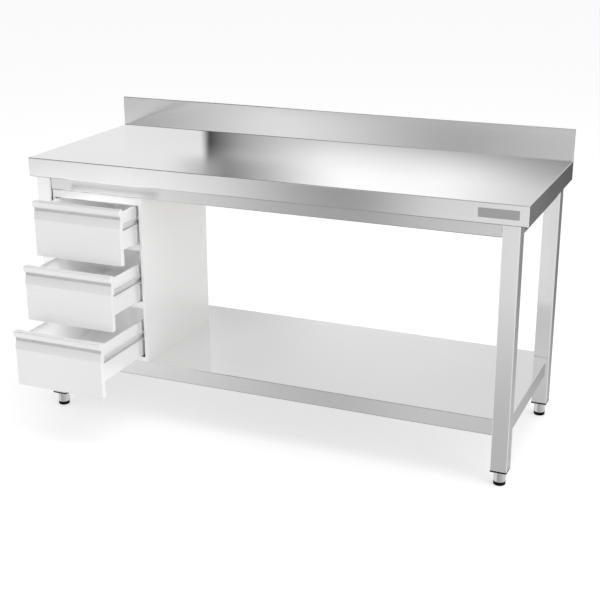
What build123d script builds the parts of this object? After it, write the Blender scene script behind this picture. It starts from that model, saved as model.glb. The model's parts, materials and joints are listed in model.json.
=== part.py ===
from build123d import *
import os

# Stainless work table with a lower shelf and a three-drawer cabinet at its left end.
# Millimetres, +Z up, +X to the right, front towards -Y. Drawers are modelled partly open.
# Heights are above the floor. Depths are from the middle of the worktop, and the whole
# model is moved by origin_y at export, so that its origin is the middle of its base.

# ---- driving dimensions: worktop ----
width = 1600.0
depth = 600.0
worktop_height = 850.0
edge_height = 60.0
backsplash_height = 100.0
backsplash_thickness = 10.0
worktop_sheet = 1.2
bend_radius = 2.5
cove_radius = 4.0
hem = 5.0
board_thickness = 18.0
board_gap = 2.0
channel_width = 60.0
channel_height = 28.0
channel_flange = 20.0
channel_sheet = 1.5
channel_spread = 800.0
plate_width = 115.0
plate_height = 26.0
plate_thickness = 0.8
plate_corner = 2.0
plate_from_right = 83.0
plate_level = 821.0

# ---- legs and feet ----
leg_size = 50.0
leg_wall = 1.2
leg_corner = 3.0
leg_inset_side = 22.5
leg_inset_front = 7.0
leg_inset_rear = 10.0
leg_bottom = 50.0
plug_flange = 5.0
plug_insert = 28.0
plug_wall = 3.0
plug_inner_corner = 0.5
plug_boss_radius = 12.0
plug_fit = 0.2
foot_radius = 18.0
pad_height = 12.0
pad_chamfer = 1.5
pad_spigot = 8.0
sleeve_wall = 1.5
sleeve_gap = 0.5
stem_radius = 6.0
stem_length = 66.0
stem_seat = 5.0
thread_fit = 0.05

# ---- aprons ----
apron_bottom = 752.0
apron_recess = 4.0
apron_gap = 1.0
apron_sheet = 1.5
apron_flange = 25.0
apron_bend = 2.5
end_plate = 2.0
end_plate_setback = 6.0
bolt_head_radius = 6.0
bolt_head_height = 4.0
bolt_head_chamfer = 0.6
washer_radius = 7.5
washer_thickness = 1.0
bolt_pitch = 40.0

# ---- shelf ----
shelf_top = 210.0
shelf_lip = 51.0
shelf_sheet = 1.0
shelf_recess = 5.0
shelf_bend = 2.5
shelf_hem = 12.0
shelf_gap = 1.0
bracket_sheet = 2.0
bracket_length = 40.0
bracket_drop = 42.0
bracket_shelf = 30.0

# ---- cabinet ----
cabinet_left = -725.0
cabinet_right = -405.0
cabinet_front = -288.0
cabinet_depth = 430.0
cabinet_top = 751.5
cabinet_sheet = 1.0
cabinet_bend = 1.5
stile_width = 9.0
rear_flange = 15.0
top_rail_drop = 23.5
bottom_rail_rise = 16.0
cross_rail_height = 20.0
cross_rail_flange = 12.0
cross_rail_below_box = 3.0
post_width = 30.0
post_depth = 10.0
post_front = 18.0
post_rear = 385.0

# ---- drawers ----
drawer_pitch = 189.0
drawer_first = 187.0
drawer_names = ["bottom", "middle", "top"]
drawer_pulls = [244.0, 168.0, 97.0]
front_width = 306.0
front_height = 176.0
front_thickness = 18.0
front_sheet = 1.0
front_clearance = 1.5
front_back_flange = 24.0
grip_height = 17.0
grip_gap = 14.0
grip_strip = 27.0
grip_lean = 5.0
grip_floor_rise = 4.0
grip_proud = 4.0
grip_bend = 1.5
cap_thickness = 1.5
box_width = 277.0
box_length = 418.0
box_bottom = 40.0
box_top = 160.0
box_sheet = 1.0
box_bend = 2.0
box_rim = 5.0
screw_head_radius = 4.0
screw_head_height = 2.0
screw_gap = 1.0
screw_levels = (70.0, 130.0)
cabinet_screw_spread = 92.0

# ---- drawer slides ----
slide_level = 112.0
slide_depth = 10.5
slide_sheet = 1.2
outer_height = 27.0
outer_lip = 8.0
outer_length = 420.0
inner_height = 17.0
inner_lip = 7.7
inner_length = 405.0
slide_setback = 4.0
cage_length = 80.0
cage_sheet = 0.6
cage_from_box = 8.2
ball_radius = 1.6
ball_level = 10.4
ball_from_box = 5.5
ball_count = 5
ball_pitch = 17.0
ball_play = 0.15

# ---- worked out ----
near = 0.01
half_width = width / 2
front_y = -depth / 2
rear_y = depth / 2
edge_bottom = worktop_height - edge_height
board_bottom = worktop_height - worktop_sheet - board_thickness
leg_front_y = front_y + leg_inset_front
leg_rear_y = rear_y - leg_inset_rear
leg_side_x = half_width - leg_inset_side
leg_inner_x = leg_side_x - leg_size
leg_corners = {
    "front_left": (-leg_side_x + leg_size / 2, leg_front_y + leg_size / 2),
    "front_right": (leg_side_x - leg_size / 2, leg_front_y + leg_size / 2),
    "rear_left": (-leg_side_x + leg_size / 2, leg_rear_y - leg_size / 2),
    "rear_right": (leg_side_x - leg_size / 2, leg_rear_y - leg_size / 2),
}
cabinet_rear = cabinet_front + cabinet_depth
cabinet_middle = (cabinet_left + cabinet_right) / 2
closed_back_y = cabinet_front - front_clearance
nose_y = -front_thickness - grip_proud
origin_y = (closed_back_y + nose_y - max(drawer_pulls) + rear_y) / 2


def block(x0, x1, y0, y1, z0, z1):
    """A box between two corners."""
    return Pos((x0 + x1) / 2, (y0 + y1) / 2, (z0 + z1) / 2) * Box(
        abs(x1 - x0), abs(y1 - y0), abs(z1 - z0)
    )


def group(shapes):
    """Separate solids as one node."""
    return Compound(children=[solid for shape in shapes for solid in shape.solids()])


def save(name, shape):
    """Write one node, moved so that the row's origin is the middle of its base."""
    export_step(Pos(0, -origin_y, 0) * shape, f"parts/{name}.step")


def edges_on(shape, direction, **place):
    """Straight edges along a direction whose middles have the given coordinates."""

    def lies_there(edge):
        return all(abs(getattr(edge.center(), name) - value) < near for name, value in place.items())

    return shape.edges().filter_by(direction).filter_by(lies_there)


# ---- worktop ----
def folded_top(inset, radius, cove):
    """Filled worktop with its upstand, its faces moved in by up to a sheet's thickness."""
    x = half_width - inset
    front = front_y + inset
    rear = rear_y - inset
    top = worktop_height - inset
    upstand_face = rear_y - backsplash_thickness + inset
    upstand_top = worktop_height + backsplash_height - inset
    bottom = edge_bottom + inset
    body = block(-x, x, front, rear, bottom, top)
    body += block(-x, x, upstand_face, rear, top, upstand_top)
    body = fillet(edges_on(body, Axis.X, Y=upstand_face, Z=top), cove)
    outside = edges_on(body, Axis.X, Y=front, Z=top)
    outside += edges_on(body, Axis.X, Y=upstand_face, Z=upstand_top)
    outside += edges_on(body, Axis.X, Y=rear, Z=upstand_top)
    outside += edges_on(body, Axis.X, Y=front, Z=bottom)
    outside += edges_on(body, Axis.X, Y=rear, Z=bottom)
    for side in (-x, x):
        outside += edges_on(body, Axis.Y, X=side, Z=bottom)
        outside += edges_on(body, Axis.Y, X=side, Z=top)
        for y in (front, rear):
            outside += edges_on(body, Axis.Z, X=side, Y=y)
    return fillet(outside, radius)


def make_worktop():
    """Folded sheet: top, edges turned in at the bottom, and a hollow upstand along the rear."""
    outer = folded_top(0, bend_radius, cove_radius)
    hollow = folded_top(worktop_sheet, bend_radius - worktop_sheet, cove_radius + worktop_sheet)
    x = half_width - worktop_sheet - hem
    y = rear_y - worktop_sheet - hem
    opening = block(-x, x, -y, y, edge_bottom, edge_bottom + worktop_sheet)
    return outer - hollow - opening


def make_board():
    """Laminated chipboard that stiffens the worktop and deadens its sound."""
    x = half_width - worktop_sheet - board_gap
    y0 = front_y + worktop_sheet + board_gap
    y1 = rear_y - backsplash_thickness - board_gap
    return block(-x, x, y0, y1, board_bottom, board_bottom + board_thickness)


def top_hat(x, y0, y1, top, height):
    """Top-hat channel along Y, with its two flanges against the panel above it."""
    half = channel_width / 2
    outer = block(x - half, x + half, y0, y1, top - height, top)
    inner = block(
        x - half + channel_sheet, x + half - channel_sheet, y0, y1, top - height + channel_sheet, top
    )
    flanges = block(
        x - half - channel_flange, x + half + channel_flange, y0, y1, top - channel_sheet, top
    )
    flanges -= block(x - half, x + half, y0, y1, top - channel_sheet, top)
    return outer - inner + flanges


def make_worktop_channels():
    inside = apron_recess + apron_flange + apron_gap
    return group(
        top_hat(x, leg_front_y + inside, leg_rear_y - inside, board_bottom, channel_height)
        for x in (-channel_spread / 2, channel_spread / 2)
    )


def make_name_plate():
    """Plain badge on the front edge."""
    x = half_width - plate_from_right
    outline = RectangleRounded(plate_width, plate_height, plate_corner)
    plate = extrude(Plane.XZ * outline, plate_thickness)
    return Pos(x, front_y, plate_level) * plate


# ---- legs and feet ----
def make_leg(x, y):
    outline = RectangleRounded(leg_size, leg_size, leg_corner)
    inside = leg_size - 2 * leg_wall
    outline -= RectangleRounded(inside, inside, leg_corner - leg_wall)
    return Pos(x, y, leg_bottom) * extrude(outline, board_bottom - leg_bottom)


def make_plug(x, y):
    """Moulded plug with a flange under the tube, ribs inside it and a bore for the stem."""
    inside = leg_size - 2 * (leg_wall + plug_fit)
    flange = extrude(RectangleRounded(leg_size, leg_size, leg_corner), plug_flange)
    ring = RectangleRounded(inside, inside, leg_corner - leg_wall)
    hole = inside - 2 * plug_wall
    ring -= RectangleRounded(hole, hole, plug_inner_corner)
    ribs = Rectangle(inside - plug_wall, plug_wall) + Rectangle(plug_wall, inside - plug_wall)
    insert = extrude(ring + ribs + Circle(plug_boss_radius), plug_insert)
    plug = flange + Pos(0, 0, plug_flange) * insert
    bore_length = plug_flange + plug_insert
    bore = Pos(0, 0, bore_length / 2) * Cylinder(stem_radius + thread_fit, bore_length)
    return Pos(x, y, leg_bottom - plug_flange) * (plug - bore)


def make_foot_sleeve(x, y):
    """Turned steel sleeve, closed at the top round the stem."""
    height = leg_bottom - plug_flange - sleeve_gap - pad_height
    tube = Pos(0, 0, height / 2) * Cylinder(foot_radius, height)
    tube -= Pos(0, 0, (height - sleeve_wall) / 2) * Cylinder(
        foot_radius - sleeve_wall, height - sleeve_wall
    )
    tube -= Pos(0, 0, height / 2) * Cylinder(stem_radius + thread_fit, height)
    return Pos(x, y, pad_height) * tube


def make_foot_pad(x, y):
    """Plastic pad on the floor, with a spigot up inside the sleeve and a seat for the stem."""
    pad = Pos(0, 0, pad_height / 2) * Cylinder(foot_radius, pad_height)
    pad = chamfer(pad.edges().filter_by(GeomType.CIRCLE).sort_by(Axis.Z)[0], pad_chamfer)
    spigot_radius = foot_radius - sleeve_wall - plug_fit
    pad += Pos(0, 0, pad_height + pad_spigot / 2) * Cylinder(spigot_radius, pad_spigot)
    seat = pad_height + pad_spigot - stem_seat
    pad -= Pos(0, 0, stem_seat + seat / 2) * Cylinder(stem_radius + thread_fit, seat)
    return Pos(x, y, 0) * pad


def make_foot_stem(x, y):
    return Pos(x, y, stem_seat + stem_length / 2) * Cylinder(stem_radius, stem_length)


# ---- aprons ----
def channel_x(x0, x1, face, inward):
    """C-channel along X; inward is +1 or -1, the way its flanges point along Y."""
    back = face + inward * apron_flange
    web_back = face + inward * apron_sheet
    channel = block(x0, x1, face, back, apron_bottom, board_bottom)
    inside = block(
        x0, x1, web_back, back, apron_bottom + apron_sheet, board_bottom - apron_sheet
    )
    channel = fillet(edges_on(channel, Axis.X, Y=face), apron_bend)
    return channel - fillet(edges_on(inside, Axis.X, Y=web_back), apron_bend - apron_sheet)


def turned(shape):
    """The same shape with X and Y exchanged, by a quarter turn and a mirror."""
    return mirror(Rot(0, 0, 90) * shape, Plane.YZ)


def make_aprons():
    """Front, rear, left and right C-channels between the legs."""
    reach_x = leg_inner_x - apron_gap
    front_from = leg_front_y + leg_size + apron_gap
    rear_to = leg_rear_y - leg_size - apron_gap
    side_face = leg_side_x - apron_recess
    return {
        "front": channel_x(-reach_x, reach_x, leg_front_y + apron_recess, 1),
        "rear": channel_x(-reach_x, reach_x, leg_rear_y - apron_recess, -1),
        "left": turned(channel_x(front_from, rear_to, -side_face, 1)),
        "right": turned(channel_x(front_from, rear_to, side_face, -1)),
    }


def end_plates():
    """A plate at each end of each apron, against the leg and inside the channel."""
    z0 = apron_bottom + apron_sheet
    z1 = board_bottom - apron_sheet
    reach = apron_flange - apron_sheet - end_plate_setback
    setback = apron_recess + apron_sheet + end_plate_setback
    front_web = leg_front_y + setback
    rear_web = leg_rear_y - setback
    side_web = leg_side_x - setback
    plates = []
    for side in (-1, 1):
        x0 = side * leg_inner_x
        x1 = side * (leg_inner_x - end_plate)
        plates.append(block(x0, x1, front_web, front_web + reach, z0, z1))
        plates.append(block(x0, x1, rear_web - reach, rear_web, z0, z1))
        for y, inward in ((leg_front_y + leg_size, 1), (leg_rear_y - leg_size, -1)):
            plates.append(
                block(
                    side * (side_web - reach), side * side_web, y, y + inward * end_plate, z0, z1
                )
            )
    return plates


def bolt(x, y, z, direction):
    """Hexagonal bolt head and its washer on a face; direction is the way that the head points."""
    head = extrude(RegularPolygon(bolt_head_radius, 6), bolt_head_height)
    head = chamfer(head.faces().sort_by(Axis.Z)[-1].edges(), bolt_head_chamfer)
    washer = extrude(Circle(washer_radius), washer_thickness)
    return Plane(origin=(x, y, z), z_dir=direction) * (washer + head)


def make_apron_bolts():
    middle = (apron_bottom + board_bottom) / 2
    offset = apron_recess + (apron_flange + apron_sheet + end_plate_setback) / 2
    bolts = []
    for z in (middle - bolt_pitch / 2, middle + bolt_pitch / 2):
        for side in (-1, 1):
            x = side * (leg_inner_x - end_plate)
            bolts.append(bolt(x, leg_front_y + offset, z, (-side, 0, 0)))
            bolts.append(bolt(x, leg_rear_y - offset, z, (-side, 0, 0)))
            side_x = side * (leg_side_x - offset)
            bolts.append(bolt(side_x, leg_front_y + leg_size + end_plate, z, (0, 1, 0)))
            bolts.append(bolt(side_x, leg_rear_y - leg_size - end_plate, z, (0, -1, 0)))
    return group(bolts)


# ---- shelf ----
def shelf_outline(inset):
    """Shelf area with a square notch round each leg."""
    x = leg_side_x - shelf_recess - inset
    y0 = leg_front_y + shelf_recess + inset
    y1 = leg_rear_y - shelf_recess - inset
    notch_x = leg_inner_x - shelf_gap - inset
    notch_front = leg_front_y + leg_size + shelf_gap + inset
    notch_rear = leg_rear_y - leg_size - shelf_gap - inset
    return x, y0, y1, notch_x, notch_front, notch_rear


def folded_tray(inset, radius):
    """Filled shelf, long bay and cross bay together, with rounded top and bottom edges."""
    x, y0, y1, notch_x, notch_front, notch_rear = shelf_outline(inset)
    z0 = shelf_top - shelf_lip + inset
    z1 = shelf_top - inset
    bay = block(-notch_x, notch_x, y0, y1, z0, z1)
    ends = block(-x, x, notch_front, notch_rear, z0, z1)
    return fillet(bay.edges().filter_by(Axis.X), radius) + fillet(ends.edges().filter_by(Axis.Y), radius)


def make_shelf():
    """Folded tray, open underneath, its lips turned in again at the bottom."""
    shell = folded_tray(0, shelf_bend) - folded_tray(shelf_sheet, shelf_bend - shelf_sheet)
    x, y0, y1, notch_x, notch_front, notch_rear = shelf_outline(shelf_sheet)
    bottom = shelf_top - shelf_lip
    top = bottom + shelf_sheet
    shell -= block(-notch_x, notch_x, y0 + shelf_hem, y1 - shelf_hem, bottom, top)
    return shell - block(-x + shelf_hem, x - shelf_hem, notch_front, notch_rear, bottom, top)


def make_shelf_channels():
    y0 = leg_front_y + shelf_recess + shelf_sheet + shelf_hem + shelf_gap
    y1 = leg_rear_y - shelf_recess - shelf_sheet - shelf_hem - shelf_gap
    top = shelf_top - shelf_sheet
    return group(
        top_hat(x, y0, y1, top, channel_height) for x in (-channel_spread / 2, channel_spread / 2)
    )


def make_shelf_brackets():
    """Angle at each leg: one flange on the leg, the other under the shelf."""
    top = shelf_top - shelf_sheet
    x = leg_inner_x - shelf_gap - shelf_sheet
    brackets = []
    for side in (-1, 1):
        for y, inward in ((leg_front_y, 1), (leg_rear_y, -1)):
            start = y + inward * (shelf_recess + shelf_bend + shelf_gap)
            end = start + inward * bracket_length
            upright = block(
                side * (x - bracket_sheet), side * x, start, end, top - bracket_drop, top
            )
            flange = block(
                side * (x - bracket_shelf), side * x, start, end, top - bracket_sheet, top
            )
            brackets.append(upright + flange)
    return group(brackets)


def make_shelf_bolts():
    """Bolts that hold each shelf bracket, through the shelf's notch edge, to its leg."""
    x = leg_inner_x - shelf_gap - shelf_sheet - bracket_sheet
    level = shelf_top - shelf_sheet - bracket_drop / 2
    offset = shelf_recess + shelf_bend + shelf_gap + bracket_length / 2
    bolts = []
    for side in (-1, 1):
        for y in (leg_front_y + offset, leg_rear_y - offset):
            bolts.append(bolt(side * x, y, level, (-side, 0, 0)))
    return group(bolts)


# ---- cabinet ----
def make_cabinet_side(side):
    """Side sheet with a narrow front stile and a rear flange; side is -1 left, +1 right."""
    outer = cabinet_left if side < 0 else cabinet_right
    inner = outer - side * cabinet_sheet
    panel = block(outer, inner, cabinet_front, cabinet_rear, shelf_top, cabinet_top)
    panel += block(
        outer,
        outer - side * stile_width,
        cabinet_front,
        cabinet_front + cabinet_sheet,
        shelf_top,
        cabinet_top,
    )
    panel += block(
        outer,
        outer - side * rear_flange,
        cabinet_rear - cabinet_sheet,
        cabinet_rear,
        shelf_top,
        cabinet_top,
    )
    bends = edges_on(panel, Axis.Z, X=outer, Y=cabinet_front)
    bends += edges_on(panel, Axis.Z, X=outer, Y=cabinet_rear)
    return fillet(bends, cabinet_bend)


def make_cabinet_back():
    x0 = cabinet_left + cabinet_sheet
    x1 = cabinet_right - cabinet_sheet
    y1 = cabinet_rear - cabinet_sheet
    z0 = shelf_top + cabinet_sheet
    z1 = cabinet_top - cabinet_sheet
    return block(x0, x1, y1 - cabinet_sheet, y1, z0, z1)


def flat_panel(z0, rail_from, rail_to):
    """Top or bottom sheet of the cabinet with the front rail folded from it."""
    x0 = cabinet_left + cabinet_sheet
    x1 = cabinet_right - cabinet_sheet
    y1 = cabinet_rear - cabinet_sheet
    behind_stile = cabinet_front + cabinet_sheet
    panel = block(x0, x1, behind_stile, y1, z0, z0 + cabinet_sheet)
    rail = block(
        cabinet_left + stile_width,
        cabinet_right - stile_width,
        cabinet_front,
        behind_stile,
        rail_from,
        rail_to,
    )
    return panel + rail


def make_cross_rails():
    """A channel under each of the two upper drawers, level with the stiles in front."""
    rails = []
    for index in (1, 2):
        top = drawer_first + index * drawer_pitch + box_bottom - cross_rail_below_box
        low = top - cross_rail_height
        behind = cabinet_front + cabinet_sheet
        x0 = cabinet_left + cabinet_sheet
        x1 = cabinet_right - cabinet_sheet
        face = block(
            cabinet_left + stile_width, cabinet_right - stile_width, cabinet_front, behind, low, top
        )
        upper = block(x0, x1, behind, behind + cross_rail_flange, top - cabinet_sheet, top)
        lower = block(x0, x1, behind, behind + cross_rail_flange, low, low + cabinet_sheet)
        rails.append(face + upper + lower)
    return group(rails)


def make_slide_posts():
    """Upright channels inside the side sheets, which bring the slides clear of the stiles."""
    posts = []
    z0 = shelf_top + cabinet_sheet
    z1 = cabinet_top - cabinet_sheet
    for outer, inward in ((cabinet_left + cabinet_sheet, 1), (cabinet_right - cabinet_sheet, -1)):
        face = outer + inward * post_depth
        for start in (post_front, post_rear):
            y0 = cabinet_front + start
            y1 = y0 + post_width
            post = block(outer, face, y0, y1, z0, z1)
            post -= block(
                outer,
                face - inward * channel_sheet,
                y0 + channel_sheet,
                y1 - channel_sheet,
                z0,
                z1,
            )
            posts.append(post)
    return group(posts)


def make_cabinet_screws():
    """Pan heads under the cabinet's top that hold it to the front apron's lower flange."""
    heads = []
    y = leg_front_y + apron_recess + apron_flange / 2
    z = cabinet_top - cabinet_sheet - screw_head_height / 2
    for side in (-1, 0, 1):
        x = cabinet_middle + side * cabinet_screw_spread
        heads.append(Pos(x, y, z) * Cylinder(screw_head_radius, screw_head_height))
    return group(heads)


# ---- drawers: local frame has x 0 in the middle, y 0 at the back of the front, z 0 at its base ----
def place_drawer(shape, index, travel_share=1.0):
    """Put a drawer piece in its bay; pieces that move half as far take a share of the pull."""
    y = closed_back_y - drawer_pulls[index] * travel_share
    return Pos(cabinet_middle, y, drawer_first + index * drawer_pitch) * shape


def front_levels():
    """Heights of the strip's lower edge, its upper edge and the back of the recess floor."""
    strip_top = front_height - grip_height - grip_gap
    return strip_top - grip_strip, strip_top, strip_top + grip_floor_rise


def folded_front():
    """Section of the front's sheet: base, face, leaning strip, finger recess and grip."""
    face = -front_thickness
    strip_bottom, strip_top, recess_back = front_levels()
    nose = face - grip_proud + front_sheet
    line = FilletPolyline(
        (0, 0),
        (face, 0),
        (face, strip_bottom),
        (face + grip_lean, strip_top),
        (-front_sheet, recess_back),
        (-front_sheet, front_height - front_sheet),
        (nose, front_height - front_sheet),
        (nose, front_height - grip_height),
        radius=grip_bend,
    )
    return make_face(offset(line, amount=front_sheet, side=Side.RIGHT, closed=True))


def make_drawer_front():
    """Folded front with closed ends and a flange down each side of its back."""
    half = front_width / 2
    face = -front_thickness
    strip_bottom, strip_top, recess_back = front_levels()
    front = Pos(-half, 0, 0) * extrude(Plane.YZ * folded_front(), front_width)
    outline = Polyline(
        (0, 0),
        (face + grip_bend, 0),
        (face, grip_bend),
        (face, strip_bottom),
        (face + grip_lean, strip_top),
        (0, recess_back),
        close=True,
    )
    end = extrude(Plane.YZ * make_face(outline), front_sheet)
    front += Pos(-half, 0, 0) * end
    front += Pos(half - front_sheet, 0, 0) * end
    for side in (-1, 1):
        front += block(
            side * half, side * (half - front_back_flange), -front_sheet, 0, 0, front_height
        )
    return front


def make_end_caps():
    """Thin caps that close both ends of the grip and of the recess under it."""
    half = front_width / 2
    face = -front_thickness
    nose = face - grip_proud
    strip_bottom, strip_top, recess_back = front_levels()
    outline = Polyline(
        (0, strip_bottom),
        (face, strip_bottom),
        (face + grip_lean, strip_top),
        (face + grip_lean, front_height - grip_height),
        (nose, front_height - grip_height),
        (nose, front_height - grip_bend),
        (nose + grip_bend, front_height),
        (0, front_height),
        close=True,
    )
    cap = extrude(Plane.YZ * make_face(outline), cap_thickness)
    return group([Pos(-half - cap_thickness, 0, 0) * cap, Pos(half, 0, 0) * cap])


def filled_box(inset, top, radius):
    """Filled drawer box, its faces moved in by inset and its sides and back bent up from its base."""
    half = box_width / 2 - inset
    rear = box_length - inset
    bottom = box_bottom + inset
    box = block(-half, half, inset, rear, bottom, top)
    bends = edges_on(box, Axis.Y, X=-half, Z=bottom)
    bends += edges_on(box, Axis.Y, X=half, Z=bottom)
    bends += edges_on(box, Axis.X, Y=rear, Z=bottom)
    return fillet(bends, radius)


def make_drawer_box():
    """Open tray of folded sheet with a narrow rim turned in along its sides and back."""
    box = filled_box(0, box_top, box_bend)
    box -= filled_box(box_sheet, box_top - box_sheet, box_bend - box_sheet)
    opening = box_width / 2 - box_rim
    top = box_top - box_sheet
    return box - block(-opening, opening, box_sheet, box_length - box_rim, top, box_top)


def make_front_screws():
    """Pan heads inside the box that hold it to the front's back flanges."""
    heads = []
    x = box_width / 2 - box_sheet - screw_gap - screw_head_radius
    y = box_sheet + screw_head_height / 2
    for side in (-1, 1):
        for z in screw_levels:
            head = Rot(90, 0, 0) * Cylinder(screw_head_radius, screw_head_height)
            heads.append(Pos(side * x, y, z) * head)
    return group(heads)


def slide_channel(height, lip, sheet, length):
    """C-channel along +Y with its web at x 0 and its flanges towards +X, about z 0."""
    half = height / 2
    channel = block(0, lip, 0, length, -half, half)
    return channel - block(sheet, lip, 0, length, -half + sheet, half - sheet)


def make_inner_slides():
    """Slide members on the drawer's sides."""
    channel = slide_channel(inner_height, inner_lip, slide_sheet, inner_length)
    right = Pos(box_width / 2, slide_setback, slide_level) * channel
    return group([right, mirror(right, Plane.YZ)])


def make_outer_slides():
    """Slide members in the cabinet, in the drawer's frame as when it is closed."""
    channel = slide_channel(outer_height, outer_lip, slide_sheet, outer_length)
    web = box_width / 2 + slide_depth
    right = Pos(web, slide_setback, slide_level) * mirror(channel, Plane.YZ)
    return group([right, mirror(right, Plane.YZ)])


def make_ball_cages():
    """Ball cages between the two slide members, with their balls as separate solids."""
    overlap_middle = slide_setback + inner_length / 2
    half_length = cage_length / 2
    back = cage_from_box + cage_sheet
    level = ball_level
    cage = block(cage_from_box, back, -half_length, half_length, -level, level)
    balls = []
    for side in (-1, 1):
        flange_low = side * (level - cage_sheet / 2)
        flange_high = side * (level + cage_sheet / 2)
        cage += block(
            ball_from_box - 2 * ball_radius,
            back,
            -half_length,
            half_length,
            flange_low,
            flange_high,
        )
        for number in range(ball_count):
            y = (number - (ball_count - 1) / 2) * ball_pitch
            ball_place = Pos(ball_from_box, y, side * level)
            cage -= ball_place * Cylinder(ball_radius + ball_play, 4 * cage_sheet)
            balls.append(ball_place * Sphere(ball_radius))
    half = Pos(box_width / 2, overlap_middle, slide_level) * group([cage, *balls])
    return group([half, mirror(half, Plane.YZ)])


def write_table():
    save("worktop", make_worktop())
    save("worktop_board", make_board())
    save("worktop_channels", make_worktop_channels())
    save("name_plate", make_name_plate())
    save("leg_plugs", group(make_plug(x, y) for x, y in leg_corners.values()))
    for corner, (x, y) in leg_corners.items():
        save(f"leg_{corner}", make_leg(x, y))
        save(f"foot_{corner}_sleeve", make_foot_sleeve(x, y))
        save(f"foot_{corner}_pad", make_foot_pad(x, y))
        save(f"foot_{corner}_stem", make_foot_stem(x, y))
    for name, apron in make_aprons().items():
        save(f"apron_{name}", apron)
    save("apron_end_plates", group(end_plates()))
    save("apron_bolts", make_apron_bolts())
    save("shelf", make_shelf())
    save("shelf_channels", make_shelf_channels())
    save("shelf_brackets", make_shelf_brackets())
    save("shelf_bolts", make_shelf_bolts())


def write_cabinet():
    save("cabinet_side_left", make_cabinet_side(-1))
    save("cabinet_side_right", make_cabinet_side(1))
    save("cabinet_back", make_cabinet_back())
    top_sheet = cabinet_top - cabinet_sheet
    save("cabinet_top", flat_panel(top_sheet, cabinet_top - top_rail_drop, cabinet_top))
    save("cabinet_bottom", flat_panel(shelf_top, shelf_top, shelf_top + bottom_rail_rise))
    save("cabinet_cross_rails", make_cross_rails())
    save("slide_posts", make_slide_posts())
    save("cabinet_screws", make_cabinet_screws())
    outer = make_outer_slides()
    save("slide_outers", group(place_drawer(outer, i, 0.0) for i in range(len(drawer_names))))


def write_drawers():
    front = make_drawer_front()
    caps = make_end_caps()
    box = make_drawer_box()
    screws = make_front_screws()
    slides = make_inner_slides()
    cages = make_ball_cages()
    for index, name in enumerate(drawer_names):
        save(f"drawer_{name}_front", place_drawer(front, index))
        save(f"drawer_{name}_end_caps", place_drawer(caps, index))
        save(f"drawer_{name}_box", place_drawer(box, index))
        save(f"drawer_{name}_screws", place_drawer(screws, index))
        save(f"drawer_{name}_slides", place_drawer(slides, index))
        save(f"slide_cages_{name}", place_drawer(cages, index, 0.5))


os.makedirs("parts", exist_ok=True)
write_table()
write_cabinet()
write_drawers()
print("origin_y", origin_y)
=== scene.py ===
"""Stainless work table: studio, camera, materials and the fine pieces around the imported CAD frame."""
import json
import math

import bpy
from mathutils import Matrix, Vector


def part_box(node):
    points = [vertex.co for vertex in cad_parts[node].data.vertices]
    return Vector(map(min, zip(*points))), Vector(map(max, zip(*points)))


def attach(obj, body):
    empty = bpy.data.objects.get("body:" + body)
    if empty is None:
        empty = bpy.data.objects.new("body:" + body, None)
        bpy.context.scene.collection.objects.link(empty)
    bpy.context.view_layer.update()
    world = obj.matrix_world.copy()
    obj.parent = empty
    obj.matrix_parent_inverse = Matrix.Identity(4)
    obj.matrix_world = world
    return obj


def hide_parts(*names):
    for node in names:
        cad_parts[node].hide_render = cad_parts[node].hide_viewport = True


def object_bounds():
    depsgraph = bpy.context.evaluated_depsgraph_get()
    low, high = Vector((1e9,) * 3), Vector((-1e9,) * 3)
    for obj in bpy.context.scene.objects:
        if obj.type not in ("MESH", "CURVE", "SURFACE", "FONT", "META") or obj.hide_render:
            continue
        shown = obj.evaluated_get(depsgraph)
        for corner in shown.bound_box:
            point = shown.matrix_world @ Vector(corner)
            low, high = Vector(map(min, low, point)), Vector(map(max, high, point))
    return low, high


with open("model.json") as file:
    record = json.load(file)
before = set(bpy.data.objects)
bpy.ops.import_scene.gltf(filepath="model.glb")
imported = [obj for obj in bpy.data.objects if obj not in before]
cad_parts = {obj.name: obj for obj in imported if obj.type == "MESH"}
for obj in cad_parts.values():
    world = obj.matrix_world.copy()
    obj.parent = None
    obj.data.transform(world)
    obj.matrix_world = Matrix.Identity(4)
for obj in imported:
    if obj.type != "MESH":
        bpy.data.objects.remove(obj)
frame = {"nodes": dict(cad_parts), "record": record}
cad_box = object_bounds()
nodes = frame["nodes"]

# ---- Camera: metres and degrees in the frame's own axes. Azimuth 0 looks along +Y. ----
CAMERA_PLACE = Vector((1.4592, -3.2743, 1.6684))
CAMERA_AZIMUTH = 23.151
CAMERA_ELEVATION = 19.141
CAMERA_ROLL = -0.202
CAMERA_LENS = 72.23
SENSOR_WIDTH = 36.0

# ---- Floor: it glows just enough to be as white as the background ----
BACKGROUND_WHITE = 1.0
FLOOR_ALBEDO = 0.6
FLOOR_GLOW = 0.59
FLOOR_ROUGHNESS = 0.9
FLOOR_HALF = 30.0
FLOOR_GAP = 0.0005

# ---- Lamps: metres and watts. The drawer lamps' powers are for each square metre of lamp. ----
PANELS = {"overhead": ((0.3, -0.6, 5.0), 4.0, 75.0), "right": ((3.2, -0.8, 1.0), 2.0, 24.0)}
TABLE_MIDDLE = (0.0, 0.0, 0.5)
DRAWER_LAMP_MARGIN = 0.02
DRAWER_LAMP_RISE = -0.004
DRAWER_LAMP_POWER = {"bottom": 4.2, "middle": 6.2, "top": 11.0}
GRIP_LAMP_FORWARD = 0.006
GRIP_LAMP_RISE = 0.004
GRIP_LAMP_HEIGHT = 0.02
GRIP_LAMP_POWER = 0.1
SLIT_LAMP_POWER = 0.012

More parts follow.
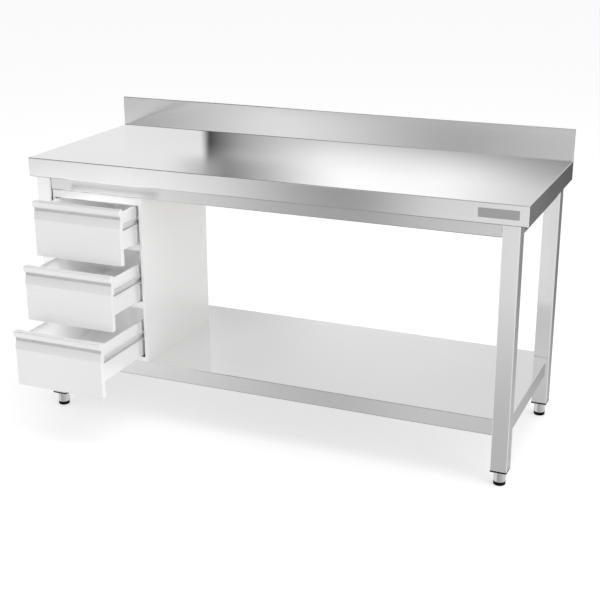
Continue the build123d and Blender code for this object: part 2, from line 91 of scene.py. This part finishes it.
# ---- Studio: what the metal mirrors ----
# Brightness by compass angle, where 0 is behind the table, negative is to the left and 180 is in front of it.
# Each list is for a band of heights above or below the horizon.
LOW_SKY = [
    (-180, 0.65), (-169, 0.58), (-164, 0.32), (-161, 0.58), (-156, 1.05), (-152.5, 0.64), (-150, 0.42),
    (-147, 0.34), (-140, 0.42), (-120, 0.65), (-60, 0.90), (-28.6, 0.88), (-27.6, 0.02), (-26.4, 0.16),
    (-24, 0.60), (-21.5, 1.20), (-16, 1.12), (-12, 0.70), (0, 0.60), (60, 0.80), (180, 0.65),
]
HIGH_SKY = [
    (-180, 0.80), (-60, 0.90), (-30, 0.86), (-25, 0.76), (-18, 0.78), (0, 0.78), (60, 0.84), (180, 0.80),
]
NEAR_GROUND = [
    (-180, 0.89), (-168, 0.89), (-163, 0.83), (-161.5, 0.56), (-159.5, 0.22), (-156, 0.50), (-152, 0.95),
    (-149, 1.24), (-145, 1.22), (-141, 1.04), (-40, 0.9), (0, 0.26), (8, 0.04), (12.5, 0.16), (18, 0.62),
    (27, 1.0), (60, 0.95), (180, 0.89),
]
DEEP_GROUND = [
    (-180, 0.52), (-166, 0.52), (-164, 0.58), (-159.5, 0.52), (-152, 0.58), (-149, 0.50), (-146.5, 0.46),
    (-143, 0.86), (-120, 1.0), (-40, 0.8), (0, 0.45), (12, 0.46), (27, 0.94), (60, 0.95), (180, 0.52),
]
# A dark ring high on the left, which the folds mirror as thin dark lines.
RING = [(-180, 0.14), (-20, 0.14), (0, 0.80), (150, 0.80), (180, 0.14)]
# How much of the near ground's brightness is left just under the horizon, by height.
HORIZON = [(-20, 1.0), (-12, 1.0), (-11, 0.25), (-9, 0.2), (-7.8, 0.85), (0, 0.85)]
# A darker stretch of that horizon on the left, by compass angle, which the upstand's left end mirrors.
LEFT_HORIZON = [(-180, 1.0), (-150.5, 1.0), (-149, 0.3), (-140, 0.3), (-138, 1.0), (180, 1.0)]
ZENITH = 0.85
NADIR = 0.16
# Heights, in degrees above the horizon, between which one band turns into the next.
NADIR_TO_DEEP_GROUND = (-46, -32)
DEEP_TO_NEAR_GROUND = (-25, -17)
TO_LEFT_HORIZON = (-9, -7.8)
GROUND_TO_SKY = (-3, 3)
LOW_TO_HIGH_SKY = (15, 20)
SKY_TO_RING = (26, 36)
RING_TO_ZENITH = (60, 75)

# Painted reflection of the upstand, which the worktop mirrors from a glowing card: brightness along the
# upstand, in metres, at its top and foot.
UPSTAND_REFLECTION_TOP = [
    (-0.80, 0.86), (-0.490, 0.86), (-0.465, 0.06), (-0.405, 0.22), (-0.356, 0.37), (-0.31, 0.48),
    (-0.22, 0.67), (-0.13, 0.88), (-0.04, 1.08), (0.06, 1.16), (0.40, 1.12), (0.50, 1.02), (0.60, 0.82),
    (0.70, 0.62), (0.80, 0.50),
]
UPSTAND_REFLECTION_FOOT = [
    (-0.80, 0.84), (-0.495, 0.80), (-0.460, 0.06), (-0.42, 0.16), (-0.33, 0.38), (-0.18, 0.58), (0.0, 0.68),
    (0.14, 0.65), (0.37, 0.54), (0.53, 0.44), (0.68, 0.36), (0.80, 0.30),
]

# ---- Surfaces: NOISE_SPAN is where most of a noise's values lie, and depths are in metres ----
NOISE_SPAN = (0.3, 0.7)
NOISE_DETAIL = 2.0
GROOVES_PER_METRE = 900.0
GROOVE_BREAKS = 4.0
GROOVE_DETAIL = 3.0
GROOVE_ROUGHNESS = 0.6
GROOVE_RELIEF = 0.02
GROOVE_DEPTH = 0.0003
GROOVE_TINT = 0.985
GROOVE_GLOSS = 0.02
CLOUDS_PER_METRE = 3.5
CLOUD_GLOSS = 0.012
END_FACE = 0.7
PLASTIC_SPECKS_PER_METRE = 900.0
PLASTIC_CLOUDS_PER_METRE = 40.0
PLASTIC_TINTS = (0.8, 1.3)
PLASTIC_GLOSS = (0.5, 0.66)
PLASTIC_RELIEF = 0.15
PLASTIC_DEPTH = 0.0002
PLASTIC_SPECULAR = 0.08
CHIPS_PER_METRE = 350.0
CHIP_DARK = (0.5, 0.45, 0.39, 1)
CHIP_PALE = (0.66, 0.61, 0.54, 1)
CHIP_GLOSS = (0.55, 0.75)

# ---- Fine pieces: metres ----
BADGE_RIM_WIDTH = 0.0012
BADGE_RIM_RISE = 0.0003
BADGE_RIM_SLOPE = 0.25
THREAD_PITCH = 0.00175
THREAD_DEPTH = 0.0009
THREAD_ROWS_PER_TURN = 6
THREAD_SIDES = 18

# ---- Light paths ----
MAX_BOUNCES = 20
GLOSSY_BOUNCES = 12
DIFFUSE_BOUNCES = 8


# ---- Node helpers ----
def node(tree, kind, inputs=None, **settings):
    """Adds one shader node; inputs are values or the sockets that feed them."""
    made = tree.nodes.new(kind)
    for name, value in settings.items():
        setattr(made, name, value)
    for key, value in (inputs or {}).items():
        if isinstance(value, bpy.types.NodeSocket):
            tree.links.new(value, made.inputs[key])
        else:
            made.inputs[key].default_value = value
    return made


def grey(value):
    return (value, value, value, 1.0)


def math_node(tree, operation, first, second=0.0):
    return node(tree, "ShaderNodeMath", {0: first, 1: second}, operation=operation).outputs[0]


def map_range(tree, value, span, result, smooth=False):
    """Maps value from span, a pair of numbers, to result, another pair, and holds it at the ends."""
    made = node(tree, "ShaderNodeMapRange", {"Value": value, "From Min": span[0], "From Max": span[1],
                                             "To Min": result[0], "To Max": result[1]})
    made.interpolation_type = "SMOOTHSTEP" if smooth else "LINEAR"
    return made.outputs["Result"]


def ramp(tree, value, stops, low, high):
    """A brightness gradient over value, with its stops as (value, brightness) pairs."""
    position = map_range(tree, value, (low, high), (0.0, 1.0))
    made = node(tree, "ShaderNodeValToRGB", {"Fac": position})
    elements = made.color_ramp.elements
    while len(elements) < len(stops):
        elements.new(0.5)
    for element, (place, brightness) in zip(elements, stops):
        element.position = (place - low) / (high - low)
        element.color = grey(brightness)
    return made.outputs["Color"]


def compass(tree, turn, stops):
    """A brightness gradient all the way round, by compass angle."""
    return ramp(tree, turn, stops, -180, 180)


def blend(tree, factor, first, second):
    made = node(tree, "ShaderNodeMix", {"Factor": factor, "A": first, "B": second}, data_type="FLOAT")
    return made.outputs["Result"]


def stack(tree, height, lower, upper, ends):
    """One band of the studio above another, with a smooth change between the two heights in ends."""
    return blend(tree, map_range(tree, height, ends, (0, 1), smooth=True), lower, upper)


def colour_mix(tree, factor, first, second):
    return node(tree, "ShaderNodeMix", {"Factor": factor, 6: first, 7: second}, data_type="RGBA").outputs[2]


def vector_mix(tree, factor, first, second):
    return node(tree, "ShaderNodeMix", {"Factor": factor, 4: first, 5: second}, data_type="VECTOR").outputs[1]


def noise(tree, place, scale):
    inputs = {"Vector": place, "Scale": scale, "Detail": NOISE_DETAIL}
    return node(tree, "ShaderNodeTexNoise", inputs).outputs[0]


def object_place(tree):
    """The point's place in metres, which stays with the piece when it moves."""
    return node(tree, "ShaderNodeTexCoord").outputs["Object"]


def new_material(name):
    """A material with an empty tree."""
    material = bpy.data.materials.new(name)
    material.use_nodes = True
    material.node_tree.nodes.clear()
    return material, material.node_tree


def new_surface(name):
    """A material with just its shader and its output."""
    material, tree = new_material(name)
    shader = node(tree, "ShaderNodeBsdfPrincipled")
    node(tree, "ShaderNodeOutputMaterial", {"Surface": shader.outputs[0]})
    return material, tree, shader


def mesh_object(name, points, faces, material):
    """A new flat-shaded mesh in the scene."""
    mesh = bpy.data.meshes.new(name)
    mesh.from_pydata([tuple(point) for point in points], [], faces)
    mesh.materials.append(material)
    made = bpy.data.objects.new(name, mesh)
    bpy.context.scene.collection.objects.link(made)
    return made


# ---- Studio ----
def make_world():
    """A plain white background, and for everything but the camera the studio gradients around the table."""
    world = bpy.data.worlds.new("studio")
    bpy.context.scene.world = world
    world.use_nodes = True
    tree = world.node_tree
    tree.nodes.clear()
    way = node(tree, "ShaderNodeTexCoord").outputs["Generated"]
    split = node(tree, "ShaderNodeSeparateXYZ", {"Vector": way}).outputs
    turn = math_node(tree, "DEGREES", math_node(tree, "ARCTAN2", split["X"], split["Y"]))
    height = math_node(tree, "DEGREES", math_node(tree, "ARCSINE", split["Z"]))

    sky = stack(tree, height, compass(tree, turn, LOW_SKY), compass(tree, turn, HIGH_SKY), LOW_TO_HIGH_SKY)
    sky = stack(tree, height, sky, compass(tree, turn, RING), SKY_TO_RING)
    sky = stack(tree, height, sky, ZENITH, RING_TO_ZENITH)

    deep_ground = compass(tree, turn, DEEP_GROUND)
    ground = stack(tree, height, deep_ground, compass(tree, turn, NEAR_GROUND), DEEP_TO_NEAR_GROUND)
    ground = math_node(tree, "MULTIPLY", ground, ramp(tree, height, HORIZON, -20, 0))
    near_horizon = map_range(tree, height, TO_LEFT_HORIZON, (0, 1))
    left_dimming = blend(tree, near_horizon, 1.0, compass(tree, turn, LEFT_HORIZON))
    ground = math_node(tree, "MULTIPLY", ground, left_dimming)
    ground = stack(tree, height, NADIR, ground, NADIR_TO_DEEP_GROUND)

    studio = stack(tree, height, ground, sky, GROUND_TO_SKY)
    seen = node(tree, "ShaderNodeLightPath").outputs["Is Camera Ray"]
    strength = blend(tree, seen, studio, BACKGROUND_WHITE)
    lamp = node(tree, "ShaderNodeBackground", {"Color": grey(1.0), "Strength": strength})
    node(tree, "ShaderNodeOutputWorld", {"Surface": lamp.outputs[0]})


def make_floor():
    """A pale floor just under the feet, which the metal doesn't mirror."""
    material, _, shader = new_surface("floor_paint")
    shader.inputs["Base Color"].default_value = grey(FLOOR_ALBEDO)
    shader.inputs["Roughness"].default_value = FLOOR_ROUGHNESS
    shader.inputs["Specular IOR Level"].default_value = 0.0
    shader.inputs["Emission Color"].default_value = grey(1.0)
    shader.inputs["Emission Strength"].default_value = FLOOR_GLOW
    material.cycles.emission_sampling = "NONE"
    level = cad_box[0][2] - FLOOR_GAP
    corners = [(-FLOOR_HALF, -FLOOR_HALF, level), (FLOOR_HALF, -FLOOR_HALF, level),
               (FLOOR_HALF, FLOOR_HALF, level), (-FLOOR_HALF, FLOOR_HALF, level)]
    floor = mesh_object("floor", corners, [(0, 1, 2, 3)], material)
    floor.visible_glossy = False


def make_painted_upstand_reflection():
    """A one-sided card just in front of the upstand that only mirrored rays see, from the worktop's side; it
    glows with a painted reflection of the upstand for the worktop to mirror.
    """
    material, tree = new_material("painted_upstand_reflection_card")
    low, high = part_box("worktop")
    _, board_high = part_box("worktop_board")
    face = board_high[1]
    foot = board_high[2]
    split = node(tree, "ShaderNodeSeparateXYZ", {0: object_place(tree)}).outputs
    upper = ramp(tree, split["X"], UPSTAND_REFLECTION_TOP, low[0], high[0])
    lower = ramp(tree, split["X"], UPSTAND_REFLECTION_FOOT, low[0], high[0])
    rise = map_range(tree, split["Z"], (foot, high[2]), (0.0, 1.0))
    # The card's glow is the painted reflection, blended from its foot to its top.
    glow = node(tree, "ShaderNodeEmission", {"Strength": blend(tree, rise, lower, upper)}).outputs[0]
    clear = node(tree, "ShaderNodeBsdfTransparent").outputs[0]
    behind = node(tree, "ShaderNodeNewGeometry").outputs["Backfacing"]
    mixed = node(tree, "ShaderNodeMixShader", {0: behind, 1: glow, 2: clear}).outputs[0]
    node(tree, "ShaderNodeOutputMaterial", {"Surface": mixed})
    material.cycles.emission_sampling = "NONE"
    corners = [(low[0], face, foot), (high[0], face, foot), (high[0], face, high[2]), (low[0], face, high[2])]
    card = mesh_object("painted_upstand_reflection_card", corners, [(0, 1, 2, 3)], material)
    for kind in ("camera", "diffuse", "transmission", "volume_scatter", "shadow"):
        setattr(card, "visible_" + kind, False)


def make_camera():
    """The camera, from its place and its three angles."""
    azimuth, elevation, roll = (math.radians(a) for a in (CAMERA_AZIMUTH, CAMERA_ELEVATION, CAMERA_ROLL))
    back = Vector((math.sin(azimuth) * math.cos(elevation), -math.cos(azimuth) * math.cos(elevation),
                   math.sin(elevation)))
    level = Vector((math.cos(azimuth), math.sin(azimuth), 0.0))
    upward = back.cross(level)
    right = level * math.cos(roll) + upward * math.sin(roll)
    up = upward * math.cos(roll) - level * math.sin(roll)
    data = bpy.data.cameras.new("camera")
    data.sensor_width = SENSOR_WIDTH
    data.lens = CAMERA_LENS
    camera = bpy.data.objects.new("camera", data)
    camera.matrix_world = Matrix.Translation(CAMERA_PLACE) @ Matrix((right, up, back)).transposed().to_4x4()
    bpy.context.scene.collection.objects.link(camera)
    bpy.context.scene.camera = camera


# ---- Lamps ----
def make_lamp(name, place, target, size_x, size_y, power):
    """A soft panel light that brightens matt surfaces only, so the metal mirrors just the studio."""
    data = bpy.data.lights.new(name, "AREA")
    data.shape = "RECTANGLE"
    data.size = size_x
    data.size_y = size_y
    data.energy = power
    lamp = bpy.data.objects.new(name, data)
    lamp.location = place
    lamp.rotation_euler = (Vector(target) - Vector(place)).to_track_quat("-Z", "Y").to_euler()
    lamp.visible_glossy = False
    lamp.visible_camera = False
    bpy.context.scene.collection.objects.link(lamp)
    return lamp


def light_drawers(cabinet_front):
    """A soft light over each drawer's open part, which travels with it, so that its inside isn't black."""
    for level, power in DRAWER_LAMP_POWER.items():
        low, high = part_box(f"drawer_{level}_box")
        size_x = high[0] - low[0] - 2 * DRAWER_LAMP_MARGIN
        size_y = cabinet_front - low[1] - 2 * DRAWER_LAMP_MARGIN
        place = ((low[0] + high[0]) / 2, (low[1] + cabinet_front) / 2, high[2] + DRAWER_LAMP_RISE)
        below = (place[0], place[1], low[2])
        lamp = make_lamp(f"drawer_{level}_fill", place, below, size_x, size_y, power * size_x * size_y)
        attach(lamp, f"drawer_{level}")


def light_grip(cabinet_front):
    """A narrow light that looks forward from behind the top drawer's grip and travels with the drawer."""
    low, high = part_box("drawer_top_box")
    grip_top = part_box("drawer_top_front")[1][2]
    place = ((low[0] + high[0]) / 2, cabinet_front - GRIP_LAMP_FORWARD, grip_top + GRIP_LAMP_RISE)
    ahead = (place[0], low[1], grip_top - GRIP_LAMP_RISE)
    lamp = make_lamp("grip_fill", place, ahead, high[0] - low[0], GRIP_LAMP_HEIGHT, GRIP_LAMP_POWER)
    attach(lamp, "drawer_top")


def light_slits(cabinet_front):
    """A narrow upright light in the gap on each side of the drawers, which looks into the cabinet."""
    low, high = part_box("drawer_top_box")
    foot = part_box("cabinet_bottom")[1][2]
    slits = {"left": (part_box("cabinet_side_left")[1][0], low[0]),
             "right": (high[0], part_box("cabinet_side_right")[0][0])}
    for side, (near, far) in slits.items():
        place = ((near + far) / 2, cabinet_front, (foot + high[2]) / 2)
        inside = (place[0], cabinet_front + 1.0, place[2])
        make_lamp(f"slit_{side}_fill", place, inside, far - near, high[2] - foot, SLIT_LAMP_POWER)


# ---- Materials ----
def grooves(tree, place, grain):
    """Where the brushing runs: along one axis, or along another on faces that look along the first."""
    normal = node(tree, "ShaderNodeNewGeometry").outputs["Normal"]
    side = "Y" if grain == "X" else "X"
    facing = math_node(tree, "ABSOLUTE", node(tree, "ShaderNodeSeparateXYZ", {0: normal}).outputs[grain])
    end_face = math_node(tree, "GREATER_THAN", facing, END_FACE)
    stretch = []
    across = []
    for axis in (grain, side):
        scale = [GROOVES_PER_METRE] * 3
        scale["XYZ".index(axis)] = GROOVE_BREAKS
        stretch.append(scale)
        along = [0.0, 0.0, 0.0]
        along["XYZ".index(axis)] = 1.0
        turned = node(tree, "ShaderNodeVectorMath", {0: normal, 1: along}, operation="CROSS_PRODUCT")
        across.append(turned.outputs[0])
    scale = vector_mix(tree, end_face, *stretch)
    stretched = node(tree, "ShaderNodeVectorMath", {0: place, 1: scale}, operation="MULTIPLY")
    streak = node(tree, "ShaderNodeTexNoise", {"Vector": stretched.outputs[0], "Scale": 1.0,
                                               "Detail": GROOVE_DETAIL, "Roughness": GROOVE_ROUGHNESS})
    return streak.outputs[0], vector_mix(tree, end_face, *across)


def metal(name, colour, roughness, grain, anisotropy=0.7, metallic=1.0):
    """Brushed sheet: fine streaks along one axis in the roughness, the relief and, faintly, the colour."""
    material, tree, shader = new_surface(name)
    place = object_place(tree)
    streak, tangent = grooves(tree, place, grain)
    cloud = noise(tree, place, CLOUDS_PER_METRE)
    gloss = map_range(tree, streak, NOISE_SPAN, (roughness - GROOVE_GLOSS, roughness + GROOVE_GLOSS))
    gloss = math_node(tree, "ADD", gloss, map_range(tree, cloud, NOISE_SPAN, (-CLOUD_GLOSS, CLOUD_GLOSS)))
    darker = tuple(c * GROOVE_TINT for c in colour) + (1.0,)
    tint = colour_mix(tree, map_range(tree, streak, NOISE_SPAN, (0.0, 1.0)), darker, tuple(colour) + (1.0,))
    tree.links.new(tint, shader.inputs["Base Color"])
    tree.links.new(gloss, shader.inputs["Roughness"])
    tree.links.new(tangent, shader.inputs["Tangent"])
    relief = node(tree, "ShaderNodeBump", {"Height": streak, "Strength": GROOVE_RELIEF,
                                           "Distance": GROOVE_DEPTH})
    tree.links.new(relief.outputs[0], shader.inputs["Normal"])
    shader.inputs["Metallic"].default_value = metallic
    shader.inputs["Anisotropic"].default_value = anisotropy
    return material


def plastic(name, value):
    """Moulded plastic: a fine even grain in its gloss and relief, and a slightly cloudy grey."""
    material, tree, shader = new_surface(name)
    place = object_place(tree)
    speck = noise(tree, place, PLASTIC_SPECKS_PER_METRE)
    cloud = noise(tree, place, PLASTIC_CLOUDS_PER_METRE)
    dark, pale = (grey(value * tint) for tint in PLASTIC_TINTS)
    tree.links.new(colour_mix(tree, cloud, dark, pale), shader.inputs["Base Color"])
    tree.links.new(map_range(tree, speck, NOISE_SPAN, PLASTIC_GLOSS), shader.inputs["Roughness"])
    relief = node(tree, "ShaderNodeBump", {"Height": speck, "Strength": PLASTIC_RELIEF,
                                           "Distance": PLASTIC_DEPTH})
    tree.links.new(relief.outputs[0], shader.inputs["Normal"])
    shader.inputs["Specular IOR Level"].default_value = PLASTIC_SPECULAR
    return material


def chipboard():
    """Laminated chipboard: small chips that differ in colour and gloss."""
    material, tree, shader = new_surface("chipboard_laminated")
    place = object_place(tree)
    chips = node(tree, "ShaderNodeTexVoronoi", {"Vector": place, "Scale": CHIPS_PER_METRE}).outputs["Color"]
    chip = node(tree, "ShaderNodeSeparateColor", {"Color": chips}).outputs[0]
    tree.links.new(colour_mix(tree, chip, CHIP_DARK, CHIP_PALE), shader.inputs["Base Color"])
    tree.links.new(map_range(tree, chip, (0.0, 1.0), CHIP_GLOSS), shader.inputs["Roughness"])
    return material


def dress():
    """Gives every CAD node the material of its slot, and returns the materials by slot."""
    sheet = metal("stainless_brushed", (0.915, 0.915, 0.917), 0.15, "X", 0.6)
    rail = metal("stainless_rail_brushed", (0.83, 0.83, 0.832), 0.2, "X", 0.6)
    tube = metal("stainless_tube_brushed", (0.865, 0.865, 0.867), 0.16, "Z", 0.6)
    finishes = {
        "stainless_sheet": sheet,
        "stainless_tube": tube,
        "cabinet_steel": metal("cabinet_satin", (0.96, 0.96, 0.96), 0.3, "Z", 0.3, metallic=0.35),
        "drawer_steel": metal("drawer_satin", (0.96, 0.96, 0.96), 0.3, "X", 0.3, metallic=0.3),
        "inner_steel": metal("inner_mill_finish", (0.8, 0.8, 0.802), 0.36, "X", metallic=0.7),
        "zinc_steel": metal("zinc_plated", (0.82, 0.82, 0.822), 0.3, "Z", metallic=0.6),
        "turned_steel": metal("turned_satin", (0.62, 0.62, 0.622), 0.16, "X", 0.0),
        "plate_metal": metal("badge_brushed", (0.6, 0.6, 0.605), 0.3, "X"),
        "black_plastic": plastic("moulded_black", 0.006),
        "chipboard": chipboard(),
    }
    for row in frame["record"]["subparts"]:
        cad = nodes[row["node"]]
        cad.data.materials.clear()
        apron = row["node"].startswith("apron_") and row["material_slot"] == "stainless_sheet"
        cad.data.materials.append(rail if apron else finishes[row["material_slot"]])
    return finishes


# ---- Fine pieces ----
def make_badge_rim(material):
    """A raised rim round the badge plate, with sloping inner and outer faces."""
    low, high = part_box("name_plate")
    front = low[1] - BADGE_RIM_RISE
    back = low[1] + BADGE_RIM_RISE
    slope = BADGE_RIM_WIDTH * BADGE_RIM_SLOPE
    rings = []
    for inset, y in ((0.0, back), (slope, front), (BADGE_RIM_WIDTH - slope, front), (BADGE_RIM_WIDTH, back)):
        rings.append([(low[0] + inset, y, low[2] + inset), (high[0] - inset, y, low[2] + inset),
                      (high[0] - inset, y, high[2] - inset), (low[0] + inset, y, high[2] - inset)])
    points = [point for ring in rings for point in ring]
    faces = []
    for ring in range(len(rings)):
        after = (ring + 1) % len(rings)
        for corner in range(4):
            beside = (corner + 1) % 4
            faces.append((4 * ring + corner, 4 * ring + beside, 4 * after + beside, 4 * after + corner))
    rim = mesh_object("name_plate_rim", points, faces, material)
    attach(rim, "frame")


def make_threaded_stem(corner, material):
    """The foot's stem with its real thread: a ridge that climbs one pitch for every turn."""
    low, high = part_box(f"foot_{corner}_stem")
    centre = [(low[axis] + high[axis]) / 2 for axis in range(3)]
    crest = (high[0] - low[0]) / 2
    root = crest - THREAD_DEPTH
    rows = int((high[2] - low[2]) / THREAD_PITCH * THREAD_ROWS_PER_TURN)
    points = []
    for row in range(rows + 1):
        z = low[2] + (high[2] - low[2]) * row / rows
        for side in range(THREAD_SIDES):
            turn = side / THREAD_SIDES
            phase = ((z - low[2]) / THREAD_PITCH - turn) % 1.0
            radius = root + THREAD_DEPTH * (1.0 - abs(2.0 * phase - 1.0))
            if row in (0, rows):
                radius = root
            angle = math.tau * turn
            points.append((centre[0] + radius * math.cos(angle), centre[1] + radius * math.sin(angle), z))
    faces = [tuple(reversed(range(THREAD_SIDES)))]
    faces.append(tuple(rows * THREAD_SIDES + side for side in range(THREAD_SIDES)))
    for row in range(rows):
        first = row * THREAD_SIDES
        above = first + THREAD_SIDES
        for side in range(THREAD_SIDES):
            beside = (side + 1) % THREAD_SIDES
            faces.append((first + side, first + beside, above + beside, above + side))
    stem = mesh_object(f"threaded_stem_{corner}", points, faces, material)
    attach(stem, f"foot_{corner}")
    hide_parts(f"foot_{corner}_stem")


def set_look():
    """Plain colours with no film look, and enough bounces for light inside the drawers."""
    view = bpy.context.scene.view_settings
    view.view_transform = "Standard"
    view.look = "None"
    cycles = bpy.context.scene.cycles
    cycles.max_bounces = MAX_BOUNCES
    cycles.glossy_bounces = GLOSSY_BOUNCES
    cycles.diffuse_bounces = DIFFUSE_BOUNCES


make_world()
make_floor()
make_painted_upstand_reflection()
make_camera()
for name, (place, size, power) in PANELS.items():
    make_lamp(name, place, TABLE_MIDDLE, size, size, power)
cabinet_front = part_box("cabinet_side_right")[0][1]
light_drawers(cabinet_front)
light_grip(cabinet_front)
light_slits(cabinet_front)
finishes = dress()
make_badge_rim(finishes["plate_metal"])
for corner in ("front_left", "front_right", "rear_left", "rear_right"):
    make_threaded_stem(corner, finishes["zinc_steel"])
set_look()
